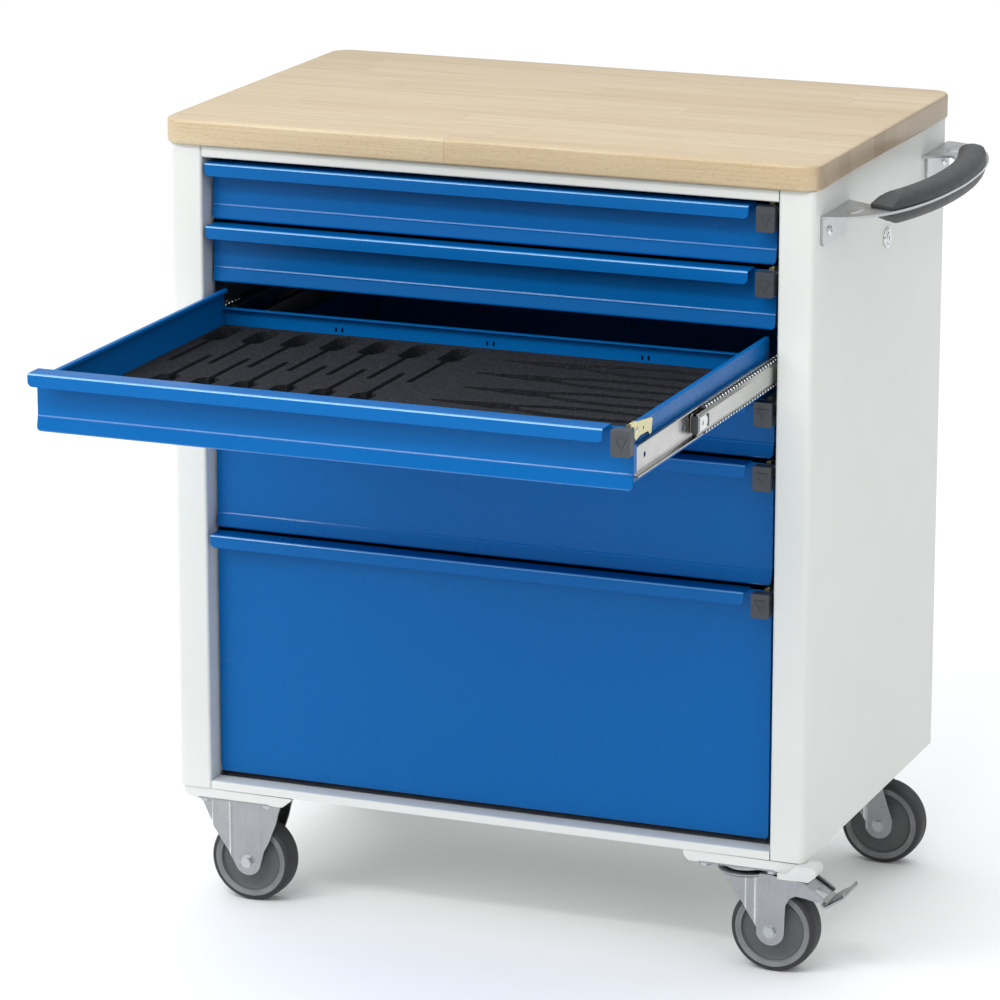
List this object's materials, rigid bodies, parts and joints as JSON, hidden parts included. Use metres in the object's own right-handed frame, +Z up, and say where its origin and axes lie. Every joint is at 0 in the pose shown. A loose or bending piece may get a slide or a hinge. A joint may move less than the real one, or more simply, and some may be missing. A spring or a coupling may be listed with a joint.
{
  "type": "workbench with drawers",
  "caption": "Mobile workshop bench: steel cabinet with blue full-width drawers under a beech worktop, side push handle, and fixed and swivelling casters.",
  "frame": {"origin": "on the floor, under the middle of the whole object's box, open drawer and handle included", "axes": "+X to the right seen from the front, towards the push handle; -Y towards the front, the way the drawers open; +Z up"},
  "size_m": [0.897, 0.968, 0.9653],
  "materials": {
    "beech": "satin lacquer",
    "grey_paint": "fine texture powder coat",
    "blue_paint": "satin powder coat",
    "zinc": "bright zinc plate",
    "yellow_zinc": "yellow passivated zinc plate on steel",
    "chrome": "polished",
    "dark_plastic": "fine grain",
    "light_plastic": "fine grain",
    "tyre": "matte",
    "foam": "closed cell foam, matte"
  },
  "bodies": {
    "cabinet": {"worktop": "beech", "left_side_panel": "grey_paint", "right_side_panel": "grey_paint", "rear_panel": "grey_paint", "base_panel": "grey_paint", "front_top_rail": "grey_paint", "front_bottom_rail": "grey_paint", "caster_beam_left": "grey_paint", "caster_beam_right": "grey_paint", "corner_bumper": "light_plastic", "runner_rack_left": "zinc", "runner_rack_right": "zinc", "handle_bracket": "zinc", "handle_grip_upper": "dark_plastic", "handle_grip_lower": "dark_plastic", "lock_housing": "chrome", "caster_front_left_fork": "zinc", "caster_front_left_axle": "zinc", "caster_rear_left_fork": "zinc", "caster_rear_left_axle": "zinc", "caster_front_right_plate": "zinc", "caster_rear_right_plate": "zinc"},
    "drawer_1": {"drawer_1_tray": "blue_paint"},
    "drawer_1_middle_rails": {"drawer_1_middle_left": "zinc", "drawer_1_middle_right": "zinc"},
    "drawer_1_latch": {"drawer_1_latch": "dark_plastic"},
    "drawer_2": {"drawer_2_tray": "blue_paint"},
    "drawer_2_middle_rails": {"drawer_2_middle_left": "zinc", "drawer_2_middle_right": "zinc"},
    "drawer_2_latch": {"drawer_2_latch": "dark_plastic"},
    "drawer_3": {"drawer_3_tray": "blue_paint", "drawer_3_rail_left": "zinc", "drawer_3_rail_right": "zinc", "drawer_3_foam_insert": "foam"},
    "drawer_3_middle_rails": {"drawer_3_middle_left": "zinc", "drawer_3_middle_right": "zinc"},
    "drawer_3_latch": {"drawer_3_latch": "dark_plastic", "drawer_3_latch_lever": "yellow_zinc"},
    "drawer_4": {"drawer_4_tray": "blue_paint"},
    "drawer_4_middle_rails": {"drawer_4_middle_left": "zinc", "drawer_4_middle_right": "zinc"},
    "drawer_4_latch": {"drawer_4_latch": "dark_plastic"},
    "drawer_5": {"drawer_5_tray": "blue_paint"},
    "drawer_5_middle_rails": {"drawer_5_middle_left": "zinc", "drawer_5_middle_right": "zinc"},
    "drawer_5_latch": {"drawer_5_latch": "dark_plastic"},
    "drawer_6": {"drawer_6_tray": "blue_paint"},
    "drawer_6_middle_rails": {"drawer_6_middle_left": "zinc", "drawer_6_middle_right": "zinc"},
    "drawer_6_latch": {"drawer_6_latch": "dark_plastic"},
    "caster_front_left_wheel": {"caster_front_left_wheel": "tyre"},
    "caster_rear_left_wheel": {"caster_rear_left_wheel": "tyre"},
    "caster_front_right_wheel": {"caster_front_right_wheel": "tyre"},
    "caster_rear_right_wheel": {"caster_rear_right_wheel": "tyre"},
    "caster_front_right_swivel": {"caster_front_right_fork": "zinc", "caster_front_right_axle": "zinc"},
    "caster_rear_right_swivel": {"caster_rear_right_fork": "zinc", "caster_rear_right_axle": "zinc"},
    "caster_front_right_brake": {"caster_front_right_brake_pedal": "zinc"},
    "lock_plug": {"lock_plug": "chrome"}
  },
  "joints": [
    {"name": "drawer_1_slide", "type": "slide", "parent": "cabinet", "child": "drawer_1", "axis": [0, -1, 0], "range_m": [0, 0.46]},
    {"name": "drawer_1_middle_slide", "type": "slide", "parent": "cabinet", "child": "drawer_1_middle_rails", "axis": [0, -1, 0], "range_m": [0, 0.2898]},
    {"name": "drawer_1_latch_press", "type": "hinge", "parent": "drawer_1", "child": "drawer_1_latch", "pos_m": [0.2975, 0.016, 0.906], "axis": [1, 0, 0], "range_deg": [0, 8], "stiffness_Nm_per_rad": 0.1, "springref_deg": -17.19},
    {"name": "drawer_2_slide", "type": "slide", "parent": "cabinet", "child": "drawer_2", "axis": [0, -1, 0], "range_m": [0, 0.46]},
    {"name": "drawer_2_middle_slide", "type": "slide", "parent": "cabinet", "child": "drawer_2_middle_rails", "axis": [0, -1, 0], "range_m": [0, 0.2898]},
    {"name": "drawer_2_latch_press", "type": "hinge", "parent": "drawer_2", "child": "drawer_2_latch", "pos_m": [0.2975, 0.016, 0.831], "axis": [1, 0, 0], "range_deg": [0, 8], "stiffness_Nm_per_rad": 0.1, "springref_deg": -17.19},
    {"name": "drawer_3_slide", "type": "slide", "parent": "cabinet", "child": "drawer_3", "axis": [0, -1, 0], "range_m": [-0.46, 0]},
    {"name": "drawer_3_middle_slide", "type": "slide", "parent": "cabinet", "child": "drawer_3_middle_rails", "axis": [0, -1, 0], "range_m": [-0.2898, 0]},
    {"name": "drawer_3_latch_press", "type": "hinge", "parent": "drawer_3", "child": "drawer_3_latch", "pos_m": [0.2975, -0.444, 0.756], "axis": [1, 0, 0], "range_deg": [0, 8], "stiffness_Nm_per_rad": 0.1, "springref_deg": -17.19},
    {"name": "drawer_4_slide", "type": "slide", "parent": "cabinet", "child": "drawer_4", "axis": [0, -1, 0], "range_m": [0, 0.46]},
    {"name": "drawer_4_middle_slide", "type": "slide", "parent": "cabinet", "child": "drawer_4_middle_rails", "axis": [0, -1, 0], "range_m": [0, 0.2898]},
    {"name": "drawer_4_latch_press", "type": "hinge", "parent": "drawer_4", "child": "drawer_4_latch", "pos_m": [0.2975, 0.016, 0.681], "axis": [1, 0, 0], "range_deg": [0, 8], "stiffness_Nm_per_rad": 0.1, "springref_deg": -17.19},
    {"name": "drawer_5_slide", "type": "slide", "parent": "cabinet", "child": "drawer_5", "axis": [0, -1, 0], "range_m": [0, 0.46]},
    {"name": "drawer_5_middle_slide", "type": "slide", "parent": "cabinet", "child": "drawer_5_middle_rails", "axis": [0, -1, 0], "range_m": [0, 0.2898]},
    {"name": "drawer_5_latch_press", "type": "hinge", "parent": "drawer_5", "child": "drawer_5_latch", "pos_m": [0.2975, 0.016, 0.606], "axis": [1, 0, 0], "range_deg": [0, 8], "stiffness_Nm_per_rad": 0.1, "springref_deg": -17.19},
    {"name": "drawer_6_slide", "type": "slide", "parent": "cabinet", "child": "drawer_6", "axis": [0, -1, 0], "range_m": [0, 0.46]},
    {"name": "drawer_6_middle_slide", "type": "slide", "parent": "cabinet", "child": "drawer_6_middle_rails", "axis": [0, -1, 0], "range_m": [0, 0.2898]},
    {"name": "drawer_6_latch_press", "type": "hinge", "parent": "drawer_6", "child": "drawer_6_latch", "pos_m": [0.2975, 0.016, 0.456], "axis": [1, 0, 0], "range_deg": [0, 8], "stiffness_Nm_per_rad": 0.1, "springref_deg": -17.19},
    {"name": "caster_front_left_roll", "type": "hinge", "parent": "cabinet", "child": "caster_front_left_wheel", "pos_m": [-0.3615, 0.018, 0.052], "axis": [0, 1, 0], "continuous": true},
    {"name": "caster_rear_left_roll", "type": "hinge", "parent": "cabinet", "child": "caster_rear_left_wheel", "pos_m": [-0.3615, 0.434, 0.052], "axis": [0, 1, 0], "continuous": true},
    {"name": "caster_front_right_roll", "type": "hinge", "parent": "caster_front_right_swivel", "child": "caster_front_right_wheel", "pos_m": [0.3065, 0.018, 0.052], "axis": [0, 1, 0], "continuous": true},
    {"name": "caster_rear_right_roll", "type": "hinge", "parent": "caster_rear_right_swivel", "child": "caster_rear_right_wheel", "pos_m": [0.3065, 0.434, 0.052], "axis": [0, 1, 0], "continuous": true},
    {"name": "caster_front_right_turn", "type": "hinge", "parent": "cabinet", "child": "caster_front_right_swivel", "pos_m": [0.2695, 0.018, 0.118], "axis": [0, 0, 1], "continuous": true},
    {"name": "caster_rear_right_turn", "type": "hinge", "parent": "cabinet", "child": "caster_rear_right_swivel", "pos_m": [0.2695, 0.434, 0.118], "axis": [0, 0, 1], "continuous": true},
    {"name": "caster_front_right_brake_press", "type": "hinge", "parent": "caster_front_right_swivel", "child": "caster_front_right_brake", "pos_m": [0.3415, 0.018, 0.106], "axis": [0, 1, 0], "range_deg": [0, 12]},
    {"name": "lock_plug_turn", "type": "hinge", "parent": "cabinet", "child": "lock_plug", "pos_m": [0.3555, 0.246, 0.831], "axis": [1, 0, 0], "range_deg": [0, 90]}
  ],
  "couplings": [
    {"joint": "drawer_1_middle_slide", "follows": "drawer_1_slide", "ratio": 0.63},
    {"joint": "drawer_2_middle_slide", "follows": "drawer_2_slide", "ratio": 0.63},
    {"joint": "drawer_3_middle_slide", "follows": "drawer_3_slide", "ratio": 0.63},
    {"joint": "drawer_4_middle_slide", "follows": "drawer_4_slide", "ratio": 0.63},
    {"joint": "drawer_5_middle_slide", "follows": "drawer_5_slide", "ratio": 0.63},
    {"joint": "drawer_6_middle_slide", "follows": "drawer_6_slide", "ratio": 0.63}
  ]
}
